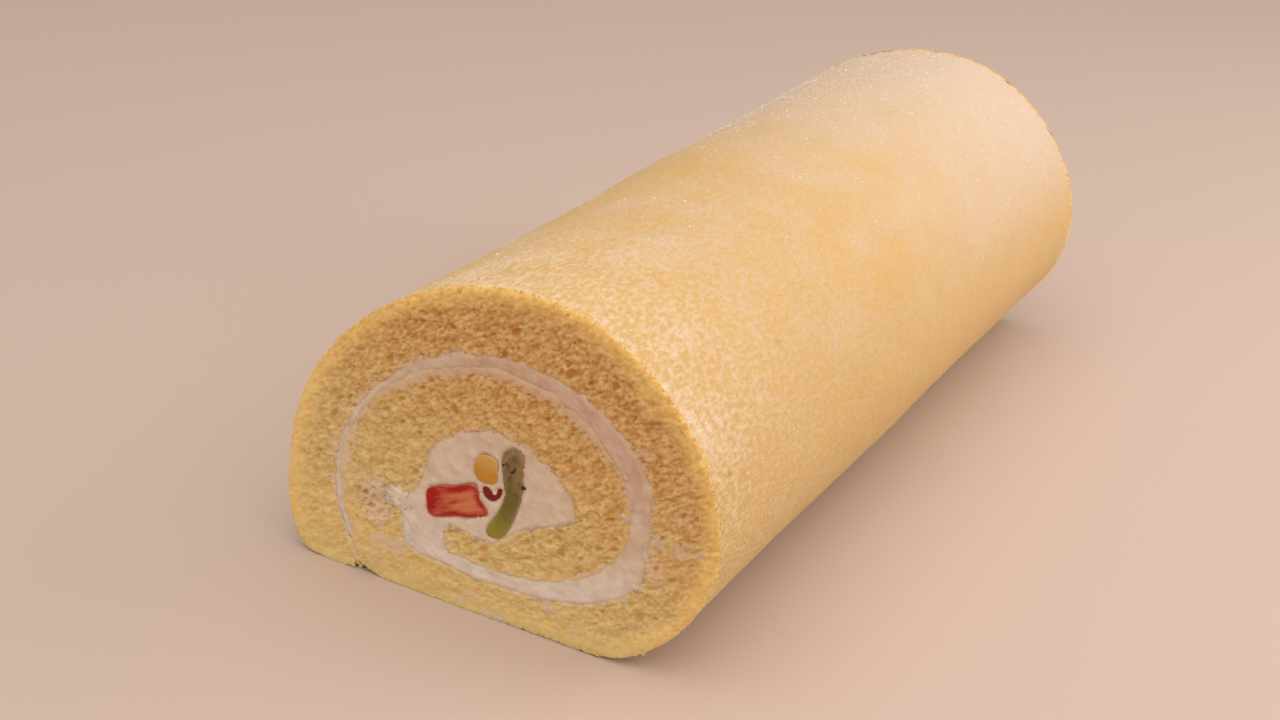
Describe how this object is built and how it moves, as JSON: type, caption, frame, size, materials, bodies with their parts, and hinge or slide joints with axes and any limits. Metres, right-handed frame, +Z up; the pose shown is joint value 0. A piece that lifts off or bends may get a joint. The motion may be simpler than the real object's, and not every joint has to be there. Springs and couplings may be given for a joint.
{
  "type": "swiss roll",
  "caption": "Whole filled sponge roll: a golden sheet of sponge rolled round whipped cream with rows of cut fruit, both ends cut straight.",
  "frame": {"origin": "middle of the roll's length and width, on the surface that it rests on", "axes": "+Z up, Y along the roll, -Y out of the cut end that the picture shows, +X to the right when facing that end"},
  "size_m": [0.104, 0.217, 0.075],
  "materials": {
    "sponge": "open baked crumb under a fine golden skin with icing sugar",
    "cream": "soft satin whipped cream",
    "strawberry": "moist cut flesh",
    "peach": "moist cut flesh",
    "cherry_sliver": "moist dark flesh",
    "kiwi": "moist translucent flesh with dark seeds"
  },
  "bodies": {
    "root": {"sponge": "sponge", "cream": "cream", "strawberry": "strawberry", "peach": "peach", "cherry_sliver": "cherry_sliver", "kiwi": "kiwi"}
  },
  "joints": []
}
